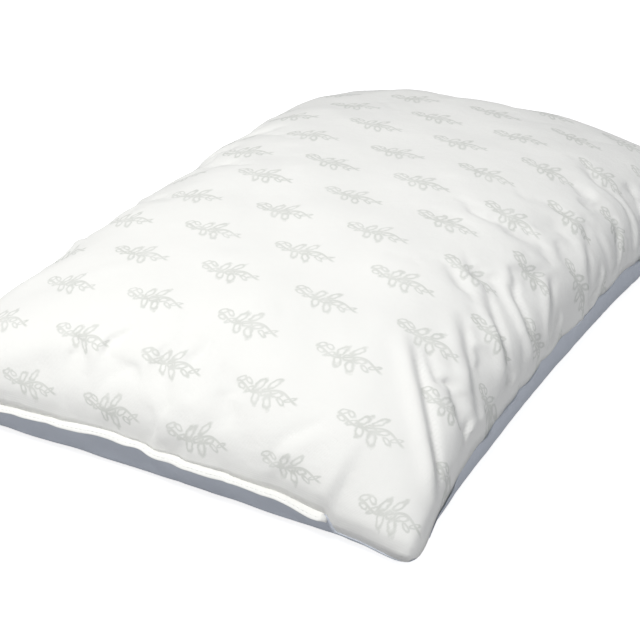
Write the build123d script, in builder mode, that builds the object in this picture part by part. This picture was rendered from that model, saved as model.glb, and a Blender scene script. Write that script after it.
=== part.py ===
from build123d import *

import os
import random

# Bed pillow, lying on its lower face.  Millimetres, +Z up, +Y along the length,
# the top-stitched closing lip at the -Y end, origin under the middle of the outline.

# Outline of the seam and height of the crown
width = 470.0  # corner to corner across
length = 710.0  # corner to corner along
loft = 127.0  # crown above the resting face
pull_short = 3.0  # how far each short side is drawn in between its corners
pull_long = 17.0  # how far each long side is drawn in between its corners
seam_height = 34.0  # seam above the resting face at the middle of each side
corner_height = 8.0  # seam above the resting face at the corners
corner_rise = 0.345  # how steeply the allowance rises inwards from a corner
corner_tuck = 11.0  # how much further in the inner edges lie at the corners, where the cloth is bunched
belly = 40.0  # how far the lower face would sag if nothing flattened it
fullness = 2.4  # a higher power keeps the crown level for longer
roundness = 0.36  # a lower power makes the flanks steeper
stations = (0.0, 0.125, 0.3, 0.5, 0.7, 0.875, 1.0)  # where the crown is shaped, from side to side

# Cloth and seam
cloth = 1.0  # panel thickness
seam_wall = 3.0  # width of the rim where both layers turn into the seam
allowance = 11.0  # raw edges inside the seam

# Closing lip of the short end
lip_width = 8.0
lip_gap = 0.05  # air between the two turned-in edges
lip_start = 30.0  # from the left corner, along the seam
lip_stop = 78.0  # from the right corner, along the seam

# Threads
thread = 0.5
thread_air = 0.05  # clearance between thread and cloth
closing_pitch = 4.0
closing_stitch_length = 3.0
closing_line = 2.2  # stitch line to the free edge of the lip
side_pitch = 5.0
side_stitch_length = 3.6
side_line = 5.5  # stitch line to the seam, on the raw edges
side_corner = 60.0  # the rows stop this far from the corners, where the seam is turned tight
overlock_pitch = 8.0
overlock_reach = 0.4  # overlock thread standing past the cloth, above and below

# Blank label in the seam of the far end
label_width = 28.0
label_reach = 18.0  # stands out of the seam
label_tail = 5.0  # held between the raw edges
label_tape = 0.4
label_fold = 0.4  # air inside the fold
label_position = 0.3  # along the far seam, from its left corner
label_air = 0.1  # clearance between tape and cloth

# Shredded foam
foam_inset = 17.0  # clear of the seam and the upper cloth
foam_floor = 6.0  # clear of the resting face
foam_pitch_x = 58.0  # room for one large piece
foam_pitch_y = 59.0
foam_pitch_z = 33.0
foam_gap = 2.0  # between neighbouring rooms
foam_corner_cut = 0.3  # largest random shortening of a corner, as a share of the piece
foam_large_share = 0.6  # of the rooms that can take one large piece
foam_medium_share = 0.6  # of the rooms left that can take four medium pieces

outline_shift = (lip_width - label_reach) / 2  # centres the whole outline on the origin


def rim(inset, lift, tuck=0):
    """The four seam curves, moved inwards and upwards.  They droop towards the corners, and a
    tuck moves their ends further in, up the rise of the cloth."""
    end_x = width / 2 - inset - tuck
    end_y = length / 2 - inset - tuck
    end_z = corner_height + (inset + tuck) * corner_rise + lift
    corners = [Vector(end_x * i, outline_shift + end_y * j, end_z) for i in (-1, 1) for j in (-1, 1)]
    front_left, back_left, front_right, back_right = corners
    middle_x = width / 2 - inset - pull_long
    middle_y = length / 2 - inset - pull_short
    middle_z = seam_height + lift
    with BuildLine():
        front = Spline(front_left, (0, outline_shift - middle_y, middle_z), front_right)
        right = Spline(front_right, (middle_x, outline_shift, middle_z), back_right)
        back = Spline(back_left, (0, outline_shift + middle_y, middle_z), back_right)
        left = Spline(front_left, (-middle_x, outline_shift, middle_z), back_left)
    return front, right, back, left


def swell(share):
    """Share of the full crown at a share of the way from one side to the other."""
    return (1 - abs(2 * share - 1) ** fullness) ** roundness


def arch(start, end, crown):
    """A level-topped arch from the middle of one side to the middle of the other."""
    points = []
    for share in stations:
        base = start + (end - start) * share
        points.append(base + Vector(0, 0, (crown - base.Z) * swell(share)))
    return Spline(*points)


def dome(edges, crown):
    """A face on the four seam curves that crowns at the given height, above or below them."""
    front, right, back, left = edges
    with BuildLine():
        across = arch(left @ 0.5, right @ 0.5, crown)
        along = arch(front @ 0.5, back @ 0.5, crown)
    return Face.make_gordon_surface([front, across, back], [left, along, right])


def band(edges, other_edges):
    """Four straight-drawn faces between one set of seam curves and another."""
    return [Face.make_surface_from_curves(a, b) for a, b in zip(edges, other_edges)]


def lip(lift):
    """Half of the closing lip: one turned-in edge standing out from the seam of the short end."""
    seam_line = rim(seam_wall / 2, lift, seam_wall / 2)[0]
    first = lip_start / seam_line.length
    last = 1 - lip_stop / seam_line.length
    root = seam_line.trim(first, last)
    free_edge = root.moved(Location((0, -lip_width - seam_wall / 2, 0)))
    return Face.make_surface_from_curves(root, free_edge)


def on_seam(edge, along, inwards, lift):
    """A place beside a seam curve: X follows the seam, Z stands square to the cloth."""
    run = edge % along
    level = Vector(-run.Y, run.X, 0).normalized()
    square = run.cross(level)
    return Plane(origin=edge @ along + level * inwards + square * lift, x_dir=run, z_dir=square)


def on_allowance(edge, inner_edge, along, share, lift):
    """A place on the cloth from an outer curve to a raw edge: X follows the edge, Z is square to it."""
    run = edge % along
    inwards = inner_edge @ along - edge @ along
    square = run.cross(inwards).normalized()
    return Plane(origin=edge @ along + inwards * share + square * lift, x_dir=run, z_dir=square)


def row_along(edge, pitch, first, last):
    """Evenly spaced positions along an edge, as fractions, between two distances."""
    count = int((last - first) / pitch)
    return [(first + pitch * (step + 0.5)) / edge.length for step in range(count)]


# The seam curves that both panels are made from
seam = rim(0, 0)
raw_edge = rim(allowance, 0, corner_tuck)

# Where the label sits: its profile is drawn square to the far seam, and its tail needs a slot
label_length = label_reach + label_tail
label_height = 2 * label_tape + label_fold
label_middle = label_reach - label_length / 2
label_seat = on_seam(seam[2], label_position, label_middle, 0)
label_plane = Plane(origin=label_seat.origin, x_dir=label_seat.y_dir, z_dir=label_seat.x_dir)
with BuildPart(label_seat) as label_slot:
    Box(label_width + 2 * label_air, label_length + 2 * label_air, label_height + 2 * label_air)


# Upper panel: crowned cloth with its turned-in raw edge and its half of the closing lip
raw_edge_above = rim(allowance, cloth, corner_tuck)
seam_above = rim(seam_wall, cloth, corner_tuck)
with BuildPart() as top_panel:
    upper_faces = [dome(seam, loft), dome(seam_above, loft - cloth)]
    upper_faces += band(seam, raw_edge)
    upper_faces += band(raw_edge, raw_edge_above)
    upper_faces += band(raw_edge_above, seam_above)
    add(Solid(Shell(upper_faces)))
    extrude(lip(lip_gap), amount=cloth, dir=(0, 0, 1))
    add(label_slot.part, mode=Mode.SUBTRACT)
top_panel.part.label = "top_panel"


def flattened(edges, sag, floor):
    """The lower dome cut off level where the pillow rests: its flank and its flat foot."""
    with BuildPart() as bowl:
        add(Solid(Shell([dome(edges, floor - sag), dome(edges, loft)])))
        split(bisect_by=Plane.XY.offset(floor), keep=Keep.TOP)
    flank, foot, _ = bowl.faces().sort_by(Axis.Z)
    return [flank, foot]


# Lower panel: the same cut of cloth, pressed flat where the pillow rests
raw_edge_below = rim(allowance, -cloth, corner_tuck)
seam_below = rim(seam_wall, -cloth, corner_tuck)
with BuildPart() as bottom_panel:
    lower_faces = flattened(seam, belly, 0)
    lower_faces += flattened(seam_below, belly, cloth)
    lower_faces += band(seam, raw_edge)
    lower_faces += band(raw_edge, raw_edge_below)
    lower_faces += band(raw_edge_below, seam_below)
    add(Solid(Shell(lower_faces)))
    extrude(lip(-lip_gap), amount=cloth, dir=(0, 0, -1))
    add(label_slot.part, mode=Mode.SUBTRACT)
bottom_panel.part.label = "bottom_panel"


# Closing stitch: one row of top-stitching through both halves of the lip, seen on both sides
closing_seam = rim(seam_wall / 2, 0, seam_wall / 2)[0]
closing_out = closing_line - lip_width - seam_wall / 2
closing_lift = lip_gap + cloth + thread_air + thread / 2
closing_planes = [
    on_seam(closing_seam, along, closing_out, side * closing_lift)
    for along in row_along(closing_seam, closing_pitch, lip_start, closing_seam.length - lip_stop)
    for side in (-1, 1)
]
with BuildPart() as closing_stitch:
    with Locations(closing_planes):
        Box(closing_stitch_length, thread, thread)
closing_stitch.part.label = "closing_stitch"


# Side seam stitch: lockstitch on the raw edges of the three closed sides, inside the pillow
side_lift = thread_air + thread / 2
side_share = (side_line - seam_wall) / (allowance - seam_wall)
side_planes = []
for edge, inner_edge, side in zip(seam_above[1:], raw_edge_above[1:], (1, -1, -1)):
    for along in row_along(edge, side_pitch, side_corner, edge.length - side_corner):
        side_planes.append(on_allowance(edge, inner_edge, along, side_share, side * side_lift))
with BuildPart() as side_seam_stitch:
    with Locations(side_planes):
        Box(side_stitch_length, thread, thread)
side_seam_stitch.part.label = "side_seam_stitch"


# Overlock stitch: thread that binds the two raw edges together, along all four sides
overlock_height = 2 * (cloth + overlock_reach)
overlock_share = 1 + (thread_air + thread / 2) / allowance
overlock_planes = []
for edge, inner_edge in zip(seam, raw_edge):
    for along in row_along(edge, overlock_pitch, side_corner, edge.length - side_corner):
        overlock_planes.append(on_allowance(edge, inner_edge, along, overlock_share, 0))
with BuildPart() as overlock_stitch:
    with Locations(overlock_planes):
        Box(thread, thread, overlock_height)
overlock_stitch.part.label = "overlock_stitch"


# Care label: a loop of woven tape folded flat, its tail held in the slot of the far seam
with BuildPart() as care_label:
    with BuildSketch(label_plane):
        SlotOverall(label_length, label_height)
        SlotOverall(label_length - 2 * label_tape, label_fold, mode=Mode.SUBTRACT)
    extrude(amount=label_width / 2, both=True)
care_label.part.label = "care_label"


# Shredded foam: irregular blocks in three cut sizes, packed in the space between the panels
foam_seam = rim(foam_inset, 0, corner_tuck)
foam_space = Solid(Shell([dome(foam_seam, loft - foam_inset), dome(foam_seam, -belly)]))


def fits(centre, size):
    """Whether a block of this size lies wholly in the space for the foam."""
    if centre.Z - size.Z / 2 < foam_floor:
        return False
    corners = [centre + Vector(size.X * i, size.Y * j, size.Z * k) for i, j, k in block_corners]
    return all(foam_space.is_inside(corner) for corner in corners)


def foam_block(centre, size):
    """One torn block: a box whose eight corners are each pulled in by random amounts."""
    points = []
    for i, j, k in block_corners:
        keep_x, keep_y, keep_z = [1 - random.uniform(0, foam_corner_cut) for _ in range(3)]
        points.append(centre + Vector(size.X * i * keep_x, size.Y * j * keep_y, size.Z * k * keep_z))
    return ConvexPolyhedron(points, mode=Mode.PRIVATE)


def divided(centre, size, counts):
    """The centres of the smaller rooms that one room is divided into, and their size."""
    small = Vector(*[side / count for side, count in zip(size, counts)])
    centres = []
    for i in range(counts[0]):
        for j in range(counts[1]):
            for k in range(counts[2]):
                step = Vector(small.X * (i + 0.5), small.Y * (j + 0.5), small.Z * (k + 0.5))
                centres.append(centre - size / 2 + step)
    return centres, small


random.seed(11)
block_corners = [(i, j, k) for i in (-0.5, 0.5) for j in (-0.5, 0.5) for k in (-0.5, 0.5)]
room = Vector(foam_pitch_x, foam_pitch_y, foam_pitch_z)
gap = Vector(foam_gap, foam_gap, foam_gap)
rooms_x = int(width / foam_pitch_x)
rooms_y = int(length / foam_pitch_y)
rooms_z = int(loft / foam_pitch_z)
first_room = Vector(
    -(rooms_x - 1) * foam_pitch_x / 2,
    outline_shift - (rooms_y - 1) * foam_pitch_y / 2,
    foam_floor + foam_pitch_z / 2,
)
large_blocks = []
medium_blocks = []
small_blocks = []
for column in range(rooms_x):
    for row in range(rooms_y):
        for layer in range(rooms_z):
            centre = first_room + Vector(column * room.X, row * room.Y, layer * room.Z)
            if fits(centre, room - gap) and random.random() < foam_large_share:
                large_blocks.append(foam_block(centre, room - gap))
                continue
            medium_centres, medium_room = divided(centre, room, (2, 2, 1))
            for medium_centre in medium_centres:
                if fits(medium_centre, medium_room - gap) and random.random() < foam_medium_share:
                    medium_blocks.append(foam_block(medium_centre, medium_room - gap))
                    continue
                small_centres, small_room = divided(medium_centre, medium_room, (1, 1, 2))
                for small_centre in small_centres:
                    if fits(small_centre, small_room - gap):
                        small_blocks.append(foam_block(small_centre, small_room - gap))

with BuildPart() as foam_large:
    add(large_blocks)
foam_large.part.label = "foam_large"
with BuildPart() as foam_medium:
    add(medium_blocks)
foam_medium.part.label = "foam_medium"
with BuildPart() as foam_small:
    add(small_blocks)
foam_small.part.label = "foam_small"


os.makedirs("parts", exist_ok=True)
for piece in (
    top_panel,
    bottom_panel,
    closing_stitch,
    side_seam_stitch,
    overlock_stitch,
    care_label,
    foam_large,
    foam_medium,
    foam_small,
):
    export_step(piece.part, f"parts/{piece.part.label}.step")
    print(piece.part.label, len(piece.part.solids()), round(piece.part.volume))
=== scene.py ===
import math

import bmesh
import bpy
import numpy as np
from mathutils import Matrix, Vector


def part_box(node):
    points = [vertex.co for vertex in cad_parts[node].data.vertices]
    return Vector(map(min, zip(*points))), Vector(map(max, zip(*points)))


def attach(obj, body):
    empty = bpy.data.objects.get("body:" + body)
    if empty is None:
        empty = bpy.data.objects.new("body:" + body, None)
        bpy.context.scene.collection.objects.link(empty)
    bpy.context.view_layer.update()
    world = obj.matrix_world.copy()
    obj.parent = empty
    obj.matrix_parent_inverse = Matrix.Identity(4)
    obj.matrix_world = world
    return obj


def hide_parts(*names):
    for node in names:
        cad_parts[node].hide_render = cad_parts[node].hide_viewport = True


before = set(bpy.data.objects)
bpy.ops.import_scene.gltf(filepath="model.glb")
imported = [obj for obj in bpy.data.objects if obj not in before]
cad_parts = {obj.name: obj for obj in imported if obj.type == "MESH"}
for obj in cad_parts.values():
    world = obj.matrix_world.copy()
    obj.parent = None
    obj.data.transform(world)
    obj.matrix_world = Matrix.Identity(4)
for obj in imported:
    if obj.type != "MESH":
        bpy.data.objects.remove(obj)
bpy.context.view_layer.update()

# ---------------------------------------------------------------------------
# Seam outline.  The pillow is two cut cotton panels sewn to each other.  Its long
# sides draw in between the corners, and the seam droops to each corner.
# ---------------------------------------------------------------------------
seam_length = 0.710  # corner to corner along
loft = 0.127  # crown above the floor
draw_in_long = 0.017  # long sides drawn in between the corners
draw_in_short = 0.003
seam_mid = 0.035  # seam above the floor at the middle of each side
seam_corner = 0.008  # seam above the floor at the corners
droop_power = 2.6  # the higher, the nearer to the corners the seam begins to droop
corner_round = 0.007  # how far each corner is rounded off, along its diagonal
round_power = 30
upturned = 0.7  # share of the droop that the front left corner is spared

panel_low, panel_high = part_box("top_panel")
half_width = panel_high[0]
half_length = seam_length / 2
middle_y = panel_high[1] - half_length


def seam_height(across, along):
    """Height of the plain sheet spanning the seam: level inside, drooping to the corners with
    the product of both shares raised to a power, and less so towards the front left corner."""
    droop = (np.abs(across) * np.abs(along)) ** droop_power
    droop = droop * (1 - upturned * np.maximum(-across, 0) ** 0.5 * np.maximum(-along, 0))
    return seam_mid - (seam_mid - seam_corner) * droop


def plan(across, along):
    """Plan position of the shares (-1 to 1) across and along: each side bows in by a parabola,
    and the corners are pulled in along their diagonals by a high power of the shares."""
    x = (half_width - draw_in_long * (1 - along**2)) * across
    y = (half_length - draw_in_short * (1 - across**2)) * along
    round_off = corner_round * (np.abs(across) * np.abs(along)) ** round_power
    return x - np.sign(across) * round_off, middle_y + y - np.sign(along) * round_off


# ---------------------------------------------------------------------------
# Camera, floor and studio light.  A long lens looks down across the front corner.
# ---------------------------------------------------------------------------
corner = Vector((half_width, middle_y - half_length, 0.0188))  # just above the front right corner
camera_rise = 0.7465  # camera above that corner
camera_away = (0.5899, -1.2432)  # across and along from it, for each metre of rise
azimuth = math.radians(29.2)
pitch = math.radians(28.4)
camera = bpy.data.objects.new("camera", bpy.data.cameras.new("camera"))
camera.data.lens = 98.3
camera.data.sensor_width = 36
camera.data.clip_end = 50
camera.location = corner + camera_rise * Vector((*camera_away, 1.0))
camera.rotation_euler = (math.pi / 2 - pitch, 0, azimuth)
bpy.context.collection.objects.link(camera)
bpy.context.scene.camera = camera


def area_light(name, place, target, size, power, colour):
    """A square soft box at place, turned to face target."""
    light = bpy.data.lights.new(name, "AREA")
    light.size = size
    light.energy = power
    light.color = colour
    holder = bpy.data.objects.new(name, light)
    holder.location = place
    holder.rotation_euler = (Vector(target) - Vector(place)).to_track_quat("-Z", "Y").to_euler()
    bpy.context.collection.objects.link(holder)


area_light("overhead", (-0.45, -1.0, 2.2), (0, -0.05, 0), 1.0, 48, (1.0, 0.995, 0.975))
area_light("side_fill", (2.3, -0.1, 1.0), (0, 0, 0.05), 1.4, 9, (0.98, 0.99, 1.0))

world = bpy.data.worlds.new("studio")
bpy.context.scene.world = world
world.use_nodes = True
world.node_tree.nodes["Background"].inputs["Color"].default_value = (0.93, 0.95, 1.0, 1)
world.node_tree.nodes["Background"].inputs["Strength"].default_value = 0.30
bpy.context.scene.view_settings.view_transform = "Standard"


def grid_mesh(name, points, uv=None):
    """A mesh of quads on a grid of points, with an optional map of flat positions in metres."""
    rows, columns = points.shape[:2]
    index = np.arange(rows * columns).reshape(rows, columns)
    quads = np.stack([index[:-1, :-1], index[1:, :-1], index[1:, 1:], index[:-1, 1:]], -1)
    quads = quads.reshape(-1, 4)
    mesh = bpy.data.meshes.new(name)
    mesh.from_pydata(points.reshape(-1, 3).tolist(), [], quads.tolist())
    if uv is not None:
        layer = mesh.uv_layers.new(name="cut")
        layer.data.foreach_set("uv", uv.reshape(-1, 2)[quads.ravel()].astype(np.float32).ravel())
    mesh.shade_smooth()
    piece = bpy.data.objects.new(name, mesh)
    bpy.context.collection.objects.link(piece)
    return piece


def new_material(name):
    """A material, with its node tree and its shader."""
    material = bpy.data.materials.new(name)
    material.use_nodes = True
    return material, material.node_tree, material.node_tree.nodes["Principled BSDF"]


def add_node(tree, kind, values, **settings):
    """A shader node with its settings, each input given as a value or as a socket to link."""
    made = tree.nodes.new(kind)
    for key, value in settings.items():
        setattr(made, key, value)
    for key, value in values.items():
        if isinstance(value, bpy.types.NodeSocket):
            tree.links.new(value, made.inputs[key])
        else:
            made.inputs[key].default_value = value
    return made


def maths(tree, operation, first, second=0.0, third=None):
    """What one math node makes of up to three values."""
    values = {0: first, 1: second} if third is None else {0: first, 1: second, 2: third}
    return add_node(tree, "ShaderNodeMath", values, operation=operation).outputs[0]


floor_half = 6.0
floor_glow = 0.85  # seen by the camera only, so it lights nothing
floor_line = np.array([-floor_half, floor_half])
floor_x, floor_y = np.meshgrid(floor_line, floor_line, indexing="ij")
floor = grid_mesh("floor", np.stack([floor_x, floor_y, 0 * floor_x], -1))
floor_paint, tree, shader = new_material("floor_paint")
shader.inputs["Base Color"].default_value = (0.55, 0.55, 0.56, 1)
shader.inputs["Roughness"].default_value = 0.9
shader.inputs["Emission Color"].default_value = (1, 1, 1, 1)
seen = add_node(tree, "ShaderNodeLightPath", {}).outputs["Is Camera Ray"]
tree.links.new(maths(tree, "MULTIPLY", seen, floor_glow), shader.inputs["Emission Strength"])
floor.data.materials.append(floor_paint)

# ---------------------------------------------------------------------------
# Printed cotton panels.  Both are cut to one flat rectangle; the raw edges turn in at the
# seam, and the cloth puckers there because the flat cut is longer than the drawn-in seam.
# ---------------------------------------------------------------------------
cut_half_width = 0.268  # half of the flat cut between its seam lines
cut_half_length = 0.392
cells_across = 84
cells_along = 124
crown_power = 2.4
crown_round_across = 0.35
crown_round_along = 0.39
crown_rise = loft - seam_mid
flank_share = 0.985  # plan share at the foot of the lower panel's flank
flank_power = 0.9
side_power = 8  # the higher, the narrower the border that keeps to the even spacing of the seam


def swell(share, roundness):
    """Share of the crown's rise: one minus a power of the distance out, to a small power."""
    return np.clip(1 - np.abs(share) ** crown_power, 0, 1) ** roundness


def even_share(flat, half_span, roundness):
    """Plan share reached at a flat share, when the cloth runs over the crown at its own length."""
    share = np.linspace(0, 1, 4001)
    profile_rise = crown_rise * swell(share, roundness)
    steps = np.hypot(np.diff(share) * half_span, np.diff(profile_rise))
    run = np.concatenate([[0], np.cumsum(steps)])
    return np.sign(flat) * np.interp(np.abs(flat), run / run[-1], share)


def sewn(lower, upper):
    """The lower grid with its outer rows on the upper grid's, where the panels are sewn."""
    lower[[0, -1]] = upper[[0, -1]]
    lower[:, [0, -1]] = upper[:, [0, -1]]
    return lower


# Shares of the flat cut, from -1 to 1 across and along
cut_u, cut_v = np.meshgrid(
    np.linspace(-1, 1, cells_across + 1), np.linspace(-1, 1, cells_along + 1), indexing="ij")
cut = np.stack([cut_u * cut_half_width, cut_v * cut_half_length], -1)
from_seam = np.minimum((1 - np.abs(cut_u)) * cut_half_width, (1 - np.abs(cut_v)) * cut_half_length)

# Upper panel: the crown at rest, before the cloth settles
over_u = even_share(cut_u, half_width - draw_in_long, crown_round_across)
over_v = even_share(cut_v, half_length, crown_round_along)
bulk_u = swell(cut_v, 1.0)
bulk_v = swell(cut_u, 1.0)
across = over_u * bulk_u + cut_u * (1 - bulk_u)
along = over_v * bulk_v + cut_v * (1 - bulk_v)
x, y = plan(across, along)
z = seam_height(across, along)
z = z + crown_rise * swell(across, crown_round_across) * swell(along, crown_round_along)
top_rest = np.stack([x, y, z], -1)


def under_share(flat, cut_half):
    """Plan share under the pillow: the flank falls almost straight, the rest is spread evenly."""
    out = np.abs(flat)
    edge = 1 - seam_mid / cut_half
    inner = flank_share * out / edge
    outer = flank_share + (1 - flank_share) * (out - edge) / (1 - edge)
    return np.sign(flat) * np.where(out < edge, inner, outer)


# Lower panel: a short flank under the seam, then flat on the floor
under_u = under_share(cut_u, cut_half_width)
under_v = under_share(cut_v, cut_half_length)
across = under_u * (1 - np.abs(cut_v) ** side_power) + cut_u * np.abs(cut_v) ** side_power
along = under_v * (1 - np.abs(cut_u) ** side_power) + cut_v * np.abs(cut_u) ** side_power
x, y = plan(across, along)
flank = np.clip(1 - from_seam / seam_mid, 0, 1)
z = seam_height(across, along) * flank**flank_power
bottom_rest = sewn(np.stack([x, y, z], -1), top_rest)

cloth_mass = 0.12
cloth_stretch = 30
cloth_shear = 8
cloth_bend = 0.08
cloth_pressure = 4
cloth_steps = 22
cloth_cap = 0.005  # furthest that a point may move
cloth_blur = 7.0  # cells over which a move has to differ from its neighbourhood to be kept
uneven_blur = 1.6  # cells
uneven_gain = 3.0  # given back to the noise that the blurring weakens
uneven_top = 0.0008  # how uneven each panel is before the cloth settles
uneven_bottom = 0.0006
uneven_fade = 0.03  # from the seam


def blurred(field, cells):
    """The field averaged along both directions of the grid, under a bell that many cells wide."""
    reach = int(3 * cells)
    bell = np.exp(-0.5 * (np.arange(-reach, reach + 1) / cells) ** 2)
    bell = bell / bell.sum()
    for axis in (0, 1):
        margins = [(0, 0)] * field.ndim
        margins[axis] = (reach, reach)
        wide = np.pad(field, margins, mode="edge")
        field = np.lib.stride_tricks.sliding_window_view(wide, 2 * reach + 1, axis) @ bell
    return field


def settle(rest_top, rest_bottom):
    """Blow the sewn case up from the inside with Blender's cloth, its springs at the lengths of
    the flat cut, so that the spare length puckers at the seam.  Only the part of each move that
    differs from its blurred neighbourhood is kept, and no point moves over the cap."""
    shape = rest_top.shape[:2]
    count = shape[0] * shape[1]
    top_index = np.arange(count).reshape(shape)
    bottom_index = sewn(top_index + count, top_index)
    quads = []
    for index, order in ((top_index, 1), (bottom_index, -1)):
        corners = [index[:-1, :-1], index[1:, :-1], index[1:, 1:], index[:-1, 1:]][::order]
        quads.append(np.stack(corners, -1).reshape(-1, 4))
    quads = np.concatenate(quads)
    points = np.concatenate([rest_top.reshape(-1, 3), rest_bottom.reshape(-1, 3)])
    flat = np.concatenate([cut.reshape(-1, 2)] * 2)
    flat = np.column_stack([flat, np.zeros(len(flat))])
    used, compact = np.unique(quads, return_inverse=True)
    mesh = bpy.data.meshes.new("case")
    mesh.from_pydata(points[used].tolist(), [], compact.reshape(-1, 4).tolist())
    case = bpy.data.objects.new("case", mesh)
    bpy.context.collection.objects.link(case)
    case.shape_key_add(name="rest")
    flat_key = case.shape_key_add(name="flat_cut")
    flat_key.data.foreach_set("co", flat[used].astype(np.float32).ravel())
    cloth = case.modifiers.new("cloth", "CLOTH")
    cloth.settings.quality = 6
    cloth.settings.mass = cloth_mass
    cloth.settings.tension_stiffness = cloth_stretch
    cloth.settings.compression_stiffness = cloth_stretch
    cloth.settings.shear_stiffness = cloth_shear
    cloth.settings.bending_stiffness = cloth_bend
    cloth.settings.use_pressure = True
    cloth.settings.uniform_pressure_force = cloth_pressure
    cloth.settings.effector_weights.gravity = 0
    cloth.settings.rest_shape_key = flat_key
    scene = bpy.context.scene
    for step in range(1, cloth_steps + 1):
        scene.frame_set(step)
    settled = case.evaluated_get(bpy.context.evaluated_depsgraph_get()).data
    moved = np.empty(len(used) * 3, np.float32)
    settled.vertices.foreach_get("co", moved)
    scene.frame_set(1)
    bpy.data.objects.remove(case)
    shift = moved.reshape(-1, 3).astype(float) - points[used]
    moves = np.zeros_like(points)
    moves[used] = shift
    settled_grids = []
    for rest, index in ((rest_top, top_index), (rest_bottom, bottom_index)):
        move = moves[index]
        move = move - blurred(move, cloth_blur)
        length = np.linalg.norm(move, axis=-1, keepdims=True)
        move = move * (cloth_cap * np.tanh(length / cloth_cap) / np.maximum(length, 1e-9))
        settled_grids.append(rest + move)
    top, bottom = settled_grids
    bottom[..., 2] = np.maximum(bottom[..., 2], 0)
    return top, sewn(bottom, top)


chance = np.random.default_rng(7)
noise = chance.normal(size=(2,) + cut_u.shape).transpose(1, 2, 0)
uneven = blurred(noise, uneven_blur) * uneven_gain
inner = np.clip(from_seam / uneven_fade, 0, 1)
top_start = top_rest.copy()
top_start[..., 2] += uneven_top * uneven[..., 0] * inner
bottom_start = bottom_rest.copy()
bottom_start[..., 1] += uneven_bottom * uneven[..., 1] * inner
top_settled, bottom_settled = settle(top_start, bottom_start)


def refined(points):
    """The grid with one point added between each pair, on the cubic through its four neighbours."""
    for axis in (0, 1):
        points = np.moveaxis(points, axis, 0)
        wide = np.concatenate([[2 * points[0] - points[1]], points, [2 * points[-1] - points[-2]]])
        finer = np.empty((2 * len(points) - 1,) + points.shape[1:])
        finer[::2] = points
        finer[1::2] = (9 * (wide[1:-2] + wide[2:-1]) - wide[:-3] - wide[3:]) / 16
        points = np.moveaxis(finer, 0, axis)
    return points


def grid_normals(points):
    """Unit normals of a grid: the cross product of its two directions."""
    normal = np.cross(np.gradient(points, axis=0), np.gradient(points, axis=1))
    return normal / np.maximum(np.linalg.norm(normal, axis=-1, keepdims=True), 1e-9)


fold_narrowing = 0.12  # of the wide bell over the whole fold: the higher, the narrower it is
groove_place = 0.35  # of the fold's width, as the next one is
groove_width = 0.55
groove_depth = 0.85  # of the fold's height


def fold(place, line, width, height):
    """Height of one fold along a line of points on the flat cut: a round ridge on one side and a
    narrower groove on the other, both bells of the distance, fading at both ends of the line."""
    line = np.array(line)
    start, run = line[:-1], np.diff(line, axis=0)
    length = np.linalg.norm(run, axis=1)
    relative = place[..., None, :] - start
    share = np.clip((relative * run).sum(-1) / length**2, 0, 1)
    away = relative - share[..., None] * run
    side = np.sign(run[:, 0] * relative[..., 1] - run[:, 1] * relative[..., 0])
    distance = np.linalg.norm(away, axis=-1)
    nearest = distance.argmin(-1)[..., None]
    distance = np.take_along_axis(distance * side, nearest, -1)[..., 0]
    reached = np.concatenate([[0], np.cumsum(length)[:-1]]) + share * length
    reached = np.take_along_axis(reached, nearest, -1)[..., 0] / length.sum()
    fade = np.clip(4 * reached, 0, 1) * np.clip(6 * (1 - reached), 0, 1)
    beyond = np.exp(-((distance / width) ** 2) * fold_narrowing)
    ridge = np.exp(-(((distance + width) / width) ** 2))
    groove = np.exp(-(((distance - groove_place * width) / (groove_width * width)) ** 2))
    return height * fade * beyond * (ridge - groove_depth * groove)


top_fine, bottom_fine = refined(top_settled), refined(bottom_settled)
cut_fine, from_seam_fine = refined(cut), refined(from_seam[..., None])[..., 0]

# Folds of the right side by the front corner, and two faint ones of the front: the line of each
# on the flat cut, its width and its height
corner_folds = [
    (((0.150, -0.205), (0.182, -0.248), (0.225, -0.300), (0.267, -0.345)), 0.0070, 0.0048),
    (((0.168, -0.150), (0.196, -0.190), (0.226, -0.218), (0.262, -0.236)), 0.009, 0.0034),
    (((0.160, -0.090), (0.190, -0.124), (0.220, -0.150), (0.258, -0.168)), 0.008, 0.0034),
    (((0.172, -0.052), (0.200, -0.084), (0.229, -0.103), (0.264, -0.112)), 0.007, 0.0034),
    (((0.205, -0.015), (0.230, -0.047), (0.246, -0.066), (0.266, -0.074)), 0.007, 0.0030),
    (((0.205, 0.060), (0.232, 0.040), (0.266, 0.028)), 0.008, 0.0026),
    (((0.268, -0.300), (0.262, -0.270), (0.246, -0.238)), 0.006, 0.0026),
    (((0.268, -0.205), (0.263, -0.170), (0.246, -0.150)), 0.006, 0.0028),
    (((0.268, -0.086), (0.258, -0.050), (0.240, -0.028)), 0.006, 0.0026),
    (((0.268, 0.020), (0.256, 0.052), (0.236, 0.072)), 0.006, 0.0026),
    (((0.268, 0.085), (0.250, 0.112), (0.222, 0.130)), 0.007, 0.0026),
    (((0.120, -0.385), (0.128, -0.350), (0.150, -0.325)), 0.010, 0.0014),
    (((-0.060, -0.388), (-0.052, -0.350), (-0.030, -0.330)), 0.010, 0.0012),
]

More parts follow.
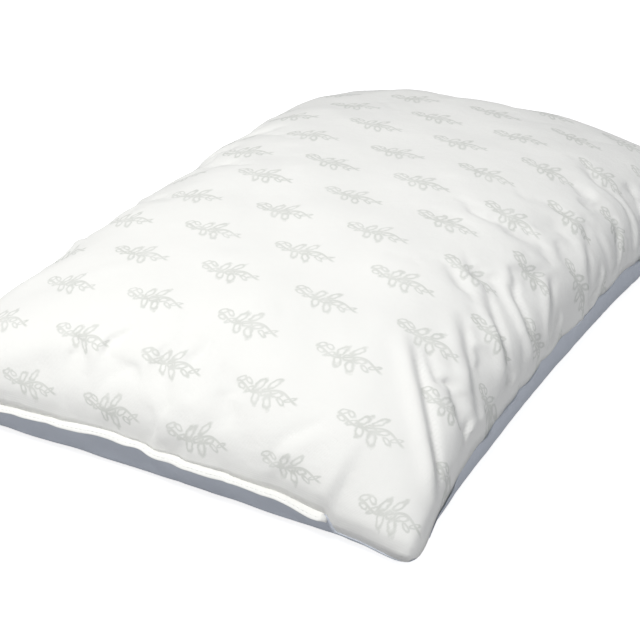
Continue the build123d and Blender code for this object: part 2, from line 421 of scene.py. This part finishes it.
# Small pleats round the rest of the seam: from the middle of the right side round the far end to
# the front of the left side, at uneven distances, each leaning its own way
pleat_count = 42
pleat_width = 0.0065
pleat_under = 0.5  # share of a pleat's height on the lower panel
flank_foot = 0.002  # above the floor, where the pleats of the lower panel begin
flank_fade = 0.01
fold_fade = 0.010  # from the seam, as the next one is
lump_fade = 0.05
lump_blur = 3.2  # cells
blur_loss = 3.5  # blurring weakens noise this many times for each cell
lump_height = 0.0008
pleat_at = np.linspace(0, 1, pleat_count, endpoint=False)
pleat_at = pleat_at + chance.uniform(-0.006, 0.006, pleat_count)
pleat_reach = chance.uniform(0.030, 0.085, pleat_count)
pleat_lean = chance.uniform(-0.6, 0.6, pleat_count)
pleat_height = chance.uniform(0.0008, 0.0021, pleat_count)
ring = np.array([(1, 0.2), (1, 1), (-1, 1), (-1, -0.6)]) * (cut_half_width, cut_half_length)
ring_run = np.concatenate([[0], np.cumsum(np.linalg.norm(np.diff(ring, axis=0), axis=1))])
pleat_x = np.interp(pleat_at * ring_run[-1], ring_run, ring[:, 0])
pleat_y = np.interp(pleat_at * ring_run[-1], ring_run, ring[:, 1])
on_end = np.abs(pleat_y) > cut_half_length - 0.001
inward_x = np.where(on_end, pleat_lean, -np.sign(pleat_x))
inward_y = np.where(on_end, -np.sign(pleat_y), pleat_lean)
end_x = pleat_x + inward_x * pleat_reach
end_y = pleat_y + inward_y * pleat_reach
seam_folds = [
    (((from_x, from_y), (to_x, to_y)), pleat_width, height)
    for from_x, from_y, to_x, to_y, height in zip(pleat_x, pleat_y, end_x, end_y, pleat_height)
]
pleated = sum(fold(cut_fine, *each) for each in seam_folds)
near_seam = np.clip(from_seam_fine / fold_fade, 0, 1) ** 0.7

# Foam felt through the upper panel: blurred noise, brought back to its first strength
noise = blurred(chance.normal(size=cut_u.shape + (2,)), lump_blur)[..., :1]
lumps = refined(noise)[..., 0] * lump_blur * blur_loss
lumps = lumps * np.clip(from_seam_fine / lump_fade, 0, 1)
folded = sum(fold(cut_fine, *each) for each in corner_folds) + pleated
top_height = folded * near_seam + lump_height * lumps
top_fine = top_fine + grid_normals(top_fine) * top_height[..., None]

under_height = pleat_under * pleated * near_seam
on_flank = np.clip((bottom_fine[..., 2] - flank_foot) / flank_fade, 0, 1)
bottom_fine = bottom_fine - grid_normals(bottom_fine) * (under_height * on_flank)[..., None]
bottom_fine[..., 2] = np.maximum(bottom_fine[..., 2], 0)
bottom_fine = sewn(bottom_fine, top_fine)

# Beyond the end of the closing lip, the front seam drops in a step and runs low to the corner
ear_length = 0.078
ear_step = 0.008
ear_rise = 0.0050  # seam above its corner height, where the step begins
ear_reach = 0.038  # how far up the cloth the drop is felt

front_share = np.linspace(-1, 1, len(top_fine))
front_height = seam_height(np.abs(front_share), -1.0)
from_corner = half_width * (1 - front_share)
low_seam = seam_corner + ear_rise * np.clip(from_corner / ear_length, 0, 1)
in_ear = np.clip((ear_length - from_corner) / ear_step, 0, 1)
in_ear = in_ear * in_ear * (3 - 2 * in_ear)
seam_drop = in_ear * np.maximum(front_height - low_seam, 0)
from_front = cut_fine[..., 1] + cut_half_length
felt = np.exp(-((from_front / ear_reach) ** 2))
top_fine[..., 2] -= seam_drop[:, None] * felt
kept = 1 - seam_drop / front_height
bottom_fine[..., 2] *= 1 + (kept[:, None] - 1) * felt
bottom_fine[:, 0] = top_fine[:, 0]

# Raw edges: two more rows on every side, turned in at the seam
allowance = 0.011
turned_steps = np.array([allowance, allowance / 2])  # the two rows, from the seam
raw_lift = 0.0007  # each raw edge off the sheet that spans the seam


def with_allowance(points, flat, lift):
    """The grid with its raw edges, which follow the sheet that spans the seam, set off by lift."""
    share_u, share_v = np.linspace(-1, 1, len(points)), np.linspace(-1, 1, points.shape[1])
    inner_u = 1 - turned_steps / half_width
    inner_v = 1 - turned_steps / half_length
    wide_u = np.concatenate([-inner_u, share_u, inner_u[::-1]])
    wide_v = np.concatenate([-inner_v, share_v, inner_v[::-1]])
    across, along = np.meshgrid(wide_u, wide_v, indexing="ij")
    x, y = plan(across, along)
    turned = np.stack([x, y, seam_height(across, along) + lift], -1)
    margins = ((2, 2), (2, 2), (0, 0))
    held_u, held_v = np.meshgrid(
        np.pad(share_u, 2, mode="edge"), np.pad(share_v, 2, mode="edge"), indexing="ij")
    seam_x, seam_y = plan(held_u, held_v)
    plain_seam = np.stack([seam_x, seam_y, seam_height(held_u, held_v)], -1)
    turned += np.pad(points, margins, mode="edge") - plain_seam
    turned[2:-2, 2:-2] = points
    wide_flat = np.pad(flat, margins, mode="edge")
    outwards = np.concatenate([-turned_steps, np.zeros(len(points)), turned_steps[::-1]])
    wide_flat[..., 0] += outwards[:, None]
    outwards = np.concatenate([-turned_steps, np.zeros(points.shape[1]), turned_steps[::-1]])
    wide_flat[..., 1] += outwards[None, :]
    return turned, wide_flat


def thickened(piece, thickness):
    """A wall of that thickness behind the outer face."""
    solidify = piece.modifiers.new("thickness", "SOLIDIFY")
    solidify.thickness = thickness
    solidify.offset = -1


cloth_thickness = 0.0006
top_sheet, top_cut = with_allowance(top_fine, cut_fine, raw_lift)
bottom_sheet, bottom_cut = with_allowance(bottom_fine, cut_fine, -raw_lift)
cover_top = grid_mesh("cover_top", top_sheet, top_cut)
cover_bottom = grid_mesh("cover_bottom", bottom_sheet[:, ::-1], bottom_cut[:, ::-1])
thickened(cover_top, cloth_thickness)
thickened(cover_bottom, cloth_thickness)

# Printed cotton: a leafy sprig repeated in staggered rows on the flat cut
print_spacing = 0.091
print_row = 0.055
print_stagger = 0.0395  # each row starts this much further across
print_origin = (0.051, -0.370)
print_depth = 0.50  # share of the grey where the print is full
leaf_line = 0.8  # the outline's place, as a share of the leaf's half size
leaf_line_outer = 0.50  # where the outline has faded out, and where it is full
leaf_line_inner = 0.10
stem_wave = 0.0035
stem_rate = 150.0
stem_outer = 0.0016  # off the stem's line, where it has faded out and where it is full
stem_inner = 0.0006
stem_end = 0.031  # where the stem has faded out, and where it starts to
stem_fade = 0.027
printed_white = (0.88, 0.88, 0.855, 1)
print_grey = (0.50, 0.52, 0.48, 1)
thread_gap_grey = (0.3, 0.3, 0.3, 1)
# Lower panel: the same white cotton as the top. Its darker blue-grey base colour is painted shade,
# standing in for the shadow under the pillow.
painted_shade_blue = (0.62, 0.66, 0.73, 1)
weave_scale = 300.0
crumple_scale = 38.0
shade_scale = 14.0
crumple_printed = 0.0022  # how deep the crumpling is in each cotton
crumple_plain = 0.005
# Leaves: across, along, turn in degrees, half length, half width, in millimetres
leaves = (
    (-26, 5, 35, 4.5, 2.6), (-24, -1, -20, 4.2, 2.2), (-19, 5, -30, 4.6, 2.2), (-15, -2, 40, 5.0, 2.4),
    (-8, 4, 70, 7.0, 3.4), (-6, -7, -70, 6.6, 3.2), (0, -1, 10, 5.0, 3.6), (3, 8, 60, 7.0, 3.0),
    (5, -8, -60, 7.5, 3.4), (10, 0, 25, 5.2, 2.6), (16, -5, -30, 5.0, 2.0), (22, -1, 35, 5.4, 1.8),
)


def noise_of(tree, place, scale, detail, **values):
    """Noise of that scale at a place, from 0 to 1."""
    values = {"Vector": place, "Scale": scale, "Detail": detail, **values}
    return add_node(tree, "ShaderNodeTexNoise", values).outputs[0]


def ranged(tree, value, low, high, to_low, to_high):
    """The value taken from one range to another in a straight line, and held at its ends."""
    values = {0: value, 1: low, 2: high, 3: to_low, 4: to_high}
    return add_node(tree, "ShaderNodeMapRange", values).outputs[0]


def mixed(tree, share, first, second):
    """The first colour, with that share of the second."""
    values = {0: share, 6: first, 7: second}
    return add_node(tree, "ShaderNodeMix", values, data_type="RGBA").outputs[2]


def bump_of(tree, height, strength, distance, **values):
    """The normal that a height gives."""
    values = {"Height": height, "Strength": strength, "Distance": distance, **values}
    return add_node(tree, "ShaderNodeBump", values).outputs[0]


def printed_share(tree, place):
    """How strongly the print lies at a place on the flat cut: leaf outlines and a waving stem,
    each drawn where its distance is small, in the cell of the staggered rows round the place."""
    axes = add_node(tree, "ShaderNodeSeparateXYZ", {0: place})
    from_x = maths(tree, "SUBTRACT", axes.outputs[0], print_origin[0])
    from_y = maths(tree, "SUBTRACT", axes.outputs[1], print_origin[1])
    row = maths(tree, "ROUND", maths(tree, "DIVIDE", from_y, print_row))
    in_y = maths(tree, "SUBTRACT", from_y, maths(tree, "MULTIPLY", row, print_row))
    set_off = maths(tree, "SUBTRACT", from_x, maths(tree, "MULTIPLY", row, print_stagger))
    column = maths(tree, "ROUND", maths(tree, "DIVIDE", set_off, print_spacing))
    in_x = maths(tree, "SUBTRACT", set_off, maths(tree, "MULTIPLY", column, print_spacing))
    cell = add_node(tree, "ShaderNodeCombineXYZ", {0: in_x, 1: in_y}).outputs[0]
    wobble = maths(tree, "MULTIPLY_ADD", noise_of(tree, place, 210.0, 2.0), 1.1, -0.55)
    line_place = maths(tree, "ADD", wobble, leaf_line)
    outlines = []
    for x, y, turn, half_long, half_wide in leaves:
        settings = {
            "Vector": cell,
            "Location": (x / 1000, y / 1000, 0),
            "Rotation": (0, 0, math.radians(turn)),
            "Scale": (half_long / 1000, half_wide / 1000, 1),
        }
        leaf = add_node(tree, "ShaderNodeMapping", settings, vector_type="TEXTURE").outputs[0]
        size = add_node(tree, "ShaderNodeVectorMath", {0: leaf}, operation="LENGTH").outputs["Value"]
        off_line = maths(tree, "ABSOLUTE", maths(tree, "SUBTRACT", size, line_place))
        outlines.append(ranged(tree, off_line, leaf_line_outer, leaf_line_inner, 0.0, 1.0))
    drawn = outlines[0]
    for outline in outlines[1:]:
        drawn = maths(tree, "MAXIMUM", drawn, outline)
    wave = maths(tree, "SINE", maths(tree, "MULTIPLY", in_x, stem_rate))
    off_stem = maths(tree, "SUBTRACT", in_y, maths(tree, "MULTIPLY", wave, stem_wave))
    stem = ranged(tree, maths(tree, "ABSOLUTE", off_stem), stem_outer, stem_inner, 0.0, 1.0)
    reach = ranged(tree, maths(tree, "ABSOLUTE", in_x), stem_end, stem_fade, 0.0, 1.0)
    drawn = maths(tree, "MAXIMUM", drawn, maths(tree, "MULTIPLY", stem, reach))
    ink = maths(tree, "MULTIPLY_ADD", noise_of(tree, place, 55.0, 2.0), 1.1, 0.45)
    return maths(tree, "MULTIPLY", drawn, ink)


def cotton(name, colour, crumple_depth, printed):
    """Woven cotton: crossed fine waves for the weave, noise for crumpling and uneven colour."""
    material, tree, shader = new_material(name)
    place = add_node(tree, "ShaderNodeUVMap", {}, uv_map="cut").outputs[0]
    solid = add_node(tree, "ShaderNodeTexCoord", {}).outputs["Object"]
    bands = []
    for direction in ("X", "Y"):
        values = {"Vector": place, "Scale": weave_scale, "Distortion": 0.6, "Detail": 1.0}
        wave = add_node(tree, "ShaderNodeTexWave", values, bands_direction=direction)
        bands.append(wave.outputs["Fac"])
    weave = maths(tree, "MULTIPLY", *bands)
    shade = noise_of(tree, solid, shade_scale, 3.0)
    crumple = noise_of(tree, solid, crumple_scale, 4.0, Roughness=0.6)
    darker = (colour[0] * 0.955, colour[1] * 0.955, colour[2] * 0.96, 1)
    gaps = ranged(tree, weave, 0.0, 1.0, 0.03, 0.0)
    tinted = mixed(tree, gaps, mixed(tree, shade, darker, colour), thread_gap_grey)
    if printed:
        share = maths(tree, "MULTIPLY", printed_share(tree, place), print_depth)
        tinted = mixed(tree, share, tinted, print_grey)
    tree.links.new(tinted, shader.inputs["Base Color"])
    tree.links.new(ranged(tree, shade, 0.0, 1.0, 0.82, 0.95), shader.inputs["Roughness"])
    shader.inputs["Specular IOR Level"].default_value = 0.2
    shader.inputs["Sheen Weight"].default_value = 0.12
    crumpled = bump_of(tree, crumple, 0.45, crumple_depth)
    woven = bump_of(tree, weave, 0.4, 0.0002, Normal=crumpled)
    tree.links.new(woven, shader.inputs["Normal"])
    return material


cotton_print = cotton("cotton_print", printed_white, crumple_printed, True)
# The lower panel's cotton carries the painted shade of the underside in its blue-grey base colour
cotton_plain = cotton("cotton_plain", painted_shade_blue, crumple_plain, False)
cover_top.data.materials.append(cotton_print)
cover_bottom.data.materials.append(cotton_plain)
fillings = ("foam_large_shreds", "foam_medium_shreds", "foam_small_shreds")
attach(cover_top, "root")
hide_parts("top_panel")
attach(cover_bottom, "root")
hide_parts("bottom_panel")

# ---------------------------------------------------------------------------
# Closing lip.  The short end is closed last, from outside: both turned-in edges stand out of
# the seam as one flat lip, top-stitched near its free edge, that ends in a step by the corner.
# ---------------------------------------------------------------------------
lip_width = 0.0075
lip_root = 0.0015  # held back inside the seam
lip_half_thickness = 0.0009
lip_start = 0.030  # from the left corner
lip_stop = ear_length  # from the right corner, where the seam drops
lip_dip = 0.0012  # free edge below the seam
lip_waves = ((0.0007, 61, 0.4), (0.0005, 143, 0))  # height, rate along the seam, start
lip_taper = 0.006  # the right end narrows over this length, to a share of the width
lip_end_share = 0.35
lip_rings = 220

front_seam = top_fine[:, 0]
front_run = np.concatenate([[0], np.cumsum(np.linalg.norm(np.diff(front_seam, axis=0), axis=1))])
front_length = front_run[-1]


def along_front(distance):
    """Points of the front seam at distances from its left corner."""
    return np.stack([np.interp(distance, front_run, front_seam[:, axis]) for axis in range(3)], -1)


def lip_point(distance, out, lift):
    """A point of the lip: out from the seam, and lifted off its middle plane.  The lip waves up
    and down a little with two slow sines, and dips towards its free edge."""
    base = along_front(distance)
    share = out / lip_width
    wave = sum(high * np.sin(distance * rate + start) for high, rate, start in lip_waves)
    shift = np.stack([0 * out, -out, wave * share - lip_dip * share**2 + lift], -1)
    return base + shift


# Its section: a thin oval, squared off along its width
angle = np.linspace(0, 2 * np.pi, 20, endpoint=False)
squared = np.sign(np.cos(angle)) * np.abs(np.cos(angle)) ** 0.35
profile_out = (lip_width - lip_root) / 2 + squared * (lip_width + lip_root) / 2
profile_lift = np.sin(angle) * lip_half_thickness
ring_distance, ring_out = np.meshgrid(
    np.linspace(lip_start, front_length - lip_stop, lip_rings), profile_out, indexing="ij")
end_share = np.clip((front_length - lip_stop - ring_distance) / lip_taper, 0, 1)
narrowed = ring_out * (lip_end_share + (1 - lip_end_share) * end_share)
ring_out = np.where(ring_out > 0, narrowed, ring_out)
lip_points = lip_point(ring_distance, ring_out, np.broadcast_to(profile_lift, ring_out.shape))
lip_cut = np.stack([ring_distance - front_length / 2, -cut_half_length - ring_out], -1)


def closed_sleeve(name, points, uv):
    """A grid whose rings are closed, with both open ends filled, its faces outward."""
    rings = np.concatenate([points, points[:, :1]], 1)
    piece = grid_mesh(name, rings, np.concatenate([uv, uv[:, :1]], 1))
    shape = bmesh.new()
    shape.from_mesh(piece.data)
    bmesh.ops.remove_doubles(shape, verts=shape.verts, dist=1e-7)
    open_edges = [edge for edge in shape.edges if edge.is_boundary]
    bmesh.ops.holes_fill(shape, edges=open_edges, sides=0)
    bmesh.ops.recalc_face_normals(shape, faces=shape.faces)
    shape.to_mesh(piece.data)
    shape.free()
    return piece


closing_lip = closed_sleeve("closing_lip", lip_points, lip_cut)
closing_lip.data.materials.append(cotton_print)
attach(closing_lip, "root")
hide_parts("top_panel")

# ---------------------------------------------------------------------------
# Sewing threads.  White polyester: the top-stitching on both faces of the lip, the lockstitch
# on the raw edges inside, and the overlock thread that binds the raw edges together.
# ---------------------------------------------------------------------------
thread_half = 0.0003
thread_proud = 0.4  # share of it that the middle of a stitch stands off the lip's face
closing_pitch = 0.004
closing_line = 0.0022  # to the free edge of the lip
closing_end = 0.008  # the row stops this far before the lip does
side_pitch = 0.005
side_line = 0.0055
overlock_pitch = 0.008
clear_of_corner = 0.060
closing_stitch_half = 0.0015  # half lengths of one stitch
side_stitch_half = 0.0018
overlock_stitch_half = 0.0019

# One stitch: a point at each end and three rings of six points between them
bead_turns = np.linspace(0, 2 * np.pi, 6, endpoint=False)
bead_shape = np.concatenate([
    [(-1, 0, 0)],
    *[np.stack([0 * bead_turns + at, np.cos(bead_turns) * wide, np.sin(bead_turns) * wide], -1)
      for at, wide in ((-0.85, 0.7), (0, 1), (0.85, 0.7))],
    [(1, 0, 0)],
])
ring_at = np.arange(6)
ring_next = np.roll(ring_at, -1)
bead_tips = np.concatenate([
    np.stack([0 * ring_at, 1 + ring_next, 1 + ring_at], -1),
    np.stack([0 * ring_at + 19, 13 + ring_at, 13 + ring_next], -1),
])
bead_bands = np.concatenate([
    np.stack([first + ring_at, first + ring_next, first + 6 + ring_next, first + 6 + ring_at], -1)
    for first in (1, 7)
])


def threads(name, centres, runs, half_length):
    """One stitch at each centre: a blunt six-sided bead turned along its run."""
    runs = runs / np.linalg.norm(runs, axis=1, keepdims=True)
    beside = np.cross(runs, (0.3, 0.2, 1.0))
    beside = beside / np.linalg.norm(beside, axis=1, keepdims=True)
    square = np.cross(runs, beside)
    frames = np.stack([runs * half_length, beside * thread_half, square * thread_half], 1)
    points = centres[:, None, :] + bead_shape[None] @ frames
    first = len(bead_shape) * np.arange(len(centres))[:, None, None]
    faces = (bead_tips + first).reshape(-1, 3).tolist() + (bead_bands + first).reshape(-1, 4).tolist()
    mesh = bpy.data.meshes.new(name)
    mesh.from_pydata(points.reshape(-1, 3).tolist(), [], faces)
    mesh.shade_smooth()
    piece = bpy.data.objects.new(name, mesh)
    bpy.context.collection.objects.link(piece)
    return piece


sewing_thread, tree, shader = new_material("sewing_thread")
solid = add_node(tree, "ShaderNodeTexCoord", {}).outputs["Object"]
ply = noise_of(tree, solid, 900.0, 2.0)
tinted = mixed(tree, ply, (0.80, 0.80, 0.78, 1), (0.90, 0.90, 0.88, 1))
tree.links.new(tinted, shader.inputs["Base Color"])
tree.links.new(bump_of(tree, ply, 0.5, 0.0002), shader.inputs["Normal"])
shader.inputs["Roughness"].default_value = 0.55

stitch_at = np.arange(
    lip_start + closing_pitch, front_length - lip_stop - closing_end, closing_pitch)
stitch_out = np.full_like(stitch_at, lip_width - closing_line)
stitch_lift = lip_half_thickness + thread_proud * thread_half
here = lip_point(stitch_at, stitch_out, stitch_lift)
ahead = lip_point(stitch_at + 0.001, stitch_out, stitch_lift) - here
centres = np.concatenate([here, lip_point(stitch_at, stitch_out, -stitch_lift)])
runs = np.concatenate([ahead, ahead])
closing_stitches = threads("closing_stitches", centres, runs, closing_stitch_half)


def inner_row(first, second, pitch, inset, lift):
    """Places and runs along one side of the seam, inset towards the middle of the pillow on the
    sheet that spans the seam: the shares of the side's two ends and the pitch set the row."""
    span = np.array(second) - np.array(first)
    reach = np.linalg.norm(span * (half_width, half_length))
    count = int((reach - 2 * clear_of_corner) / pitch)
    at = (clear_of_corner + pitch * (np.arange(count) + 0.5)) / reach
    spot = np.array(first) + at[:, None] * span
    scale = np.where(np.abs(span) > 0, 1.0, 1 - inset / np.array([half_width, half_length]))
    spot, ahead = spot * scale, (spot + 0.002 * span) * scale
    here = np.stack([*plan(*spot.T), seam_height(*spot.T) + lift], -1)
    there = np.stack([*plan(*ahead.T), seam_height(*ahead.T) + lift], -1)
    return here, there - here


sides = (((-1, -1), (1, -1)), ((1, -1), (1, 1)), ((-1, 1), (1, 1)), ((-1, -1), (-1, 1)))
side_lift = raw_lift + cloth_thickness + thread_half
rows = [inner_row(*side, side_pitch, side_line, side_lift) for side in sides[1:]]
centres, runs = (np.concatenate(part) for part in zip(*rows))
seam_stitches = threads("seam_stitches", centres, runs, side_stitch_half)
rows = [inner_row(*side, overlock_pitch, allowance + 2 * thread_half, 0) for side in sides]
centres = np.concatenate([row[0] for row in rows])
upright = np.tile((0.0, 0.0, 1.0), (len(centres), 1)) + 0.01
overlock_threads = threads("overlock_threads", centres, upright, overlock_stitch_half)
for piece, stands_for in (
    (closing_stitches, "closing_stitch"),
    (seam_stitches, "side_seam_stitch"),
    (overlock_threads, "overlock_stitch"),
):
    piece.data.materials.append(sewing_thread)
    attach(piece, "root")
    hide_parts(stands_for)

# ---------------------------------------------------------------------------
# Care label.  A short woven tape folded in half, its two tails caught in the far seam; the
# label is left blank.
# ---------------------------------------------------------------------------
tape_thickness = 0.0003
tape_edge = 0.0003  # each edge in from the box of the CAD piece
tape_end = 0.0004  # and each end
label_droop = 0.0012
loop_half = 0.0004  # half the gap between the two layers
fold_round = 0.018  # share of the length that the fold adds

label_low, label_high = (np.array(corner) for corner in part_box("care_label"))
label_length = label_high[1] - label_low[1] - 2 * tape_end
layer = np.linspace(0, 1, 18)
turn = np.linspace(0, np.pi, 7)[1:-1]
path_out = np.concatenate([layer, 1 + fold_round * np.sin(turn), layer[::-1]])
path_lift = np.concatenate([0 * layer + loop_half, loop_half * np.cos(turn), 0 * layer - loop_half])
label_across = np.linspace(label_low[0] + tape_edge, label_high[0] - tape_edge, 12)
far_seam = top_fine[:, -1]
seam_z = np.interp(label_across, far_seam[:, 0], far_seam[:, 2])
tape_out, tape_x = np.meshgrid(path_out, label_across, indexing="ij")
tape_z = seam_z[None, :] + path_lift[:, None] - label_droop * tape_out**2
tape_y = label_low[1] + tape_end + tape_out * label_length
flat_run = np.linspace(0, 2 * label_length, len(path_out))[:, None] + 0 * tape_x
tape_points = np.stack([tape_x, tape_y, tape_z], -1)
tape_flat = np.stack([tape_x, flat_run], -1)
care_label = grid_mesh("blank_label", tape_points[:, ::-1], tape_flat[:, ::-1])
thickened(care_label, tape_thickness)
label_tape, tree, shader = new_material("label_tape")
place = add_node(tree, "ShaderNodeUVMap", {}, uv_map="cut").outputs[0]
values = {"Vector": place, "Scale": 420.0, "Distortion": 0.3}
ribs = add_node(tree, "ShaderNodeTexWave", values, bands_direction="Y").outputs["Fac"]
tinted = mixed(tree, ribs, (0.84, 0.84, 0.83, 1), (0.93, 0.93, 0.92, 1))
tree.links.new(tinted, shader.inputs["Base Color"])
tree.links.new(bump_of(tree, ribs, 0.5, 0.0002), shader.inputs["Normal"])
shader.inputs["Roughness"].default_value = 0.45
care_label.data.materials.append(label_tape)
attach(care_label, "root")
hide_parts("care_label")

# ---------------------------------------------------------------------------
# Shredded foam.  Torn blocks in three cut sizes fill the case; their faces are rough and their
# edges ragged.
# ---------------------------------------------------------------------------
tear_depth = 0.0016
tear_rates = np.array([(310, 170, 90), (-140, 260, 330)])  # of two sines, per metre along each axis

foam_paint, tree, shader = new_material("foam")
solid = add_node(tree, "ShaderNodeTexCoord", {}).outputs["Object"]
cells = add_node(tree, "ShaderNodeTexVoronoi", {"Vector": solid, "Scale": 420.0}).outputs[0]
patches = noise_of(tree, solid, 22.0, 3.0)
tinted = mixed(tree, patches, (0.80, 0.74, 0.58, 1), (0.90, 0.87, 0.78, 1))
tree.links.new(tinted, shader.inputs["Base Color"])
tree.links.new(bump_of(tree, cells, 0.7, 0.0008), shader.inputs["Normal"])
tree.links.new(ranged(tree, patches, 0.0, 1.0, 0.85, 0.98), shader.inputs["Roughness"])


def torn_blocks(name, node, phase):
    """A copy of the blocks with each face divided, pushed in along its normals by crossed sines
    of the place, so that every block is uneven in its own way."""
    shape = bmesh.new()
    shape.from_mesh(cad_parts[node].data)
    bmesh.ops.remove_doubles(shape, verts=shape.verts, dist=1e-6)
    bmesh.ops.subdivide_edges(shape, edges=shape.edges, cuts=1, use_grid_fill=True)
    bmesh.ops.recalc_face_normals(shape, faces=shape.faces)
    mesh = bpy.data.meshes.new(name)
    shape.to_mesh(mesh)
    shape.free()
    places = np.empty(len(mesh.vertices) * 3, np.float32)
    mesh.vertices.foreach_get("co", places)
    normals = np.empty(len(mesh.vertices) * 3, np.float32)
    mesh.vertices.foreach_get("normal", normals)
    places, normals = places.reshape(-1, 3).astype(float), normals.reshape(-1, 3)
    rough = np.sin(places @ tear_rates[0] + phase) * np.sin(places @ tear_rates[1] + 2 * phase)
    places -= normals * (tear_depth * (0.6 + 0.6 * rough))[:, None]
    mesh.vertices.foreach_set("co", places.astype(np.float32).ravel())
    mesh.update()
    mesh.shade_smooth()
    piece = bpy.data.objects.new(name, mesh)
    bpy.context.collection.objects.link(piece)
    rounding = piece.modifiers.new("rounding", "SUBSURF")
    rounding.levels = rounding.render_levels = 1
    return piece


for name, node, phase in zip(fillings, ("foam_large", "foam_medium", "foam_small"), (0.4, 1.7, 2.9)):
    filling = torn_blocks(name, node, phase)
    filling.data.materials.append(foam_paint)
    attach(filling, "root")
    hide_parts(node)
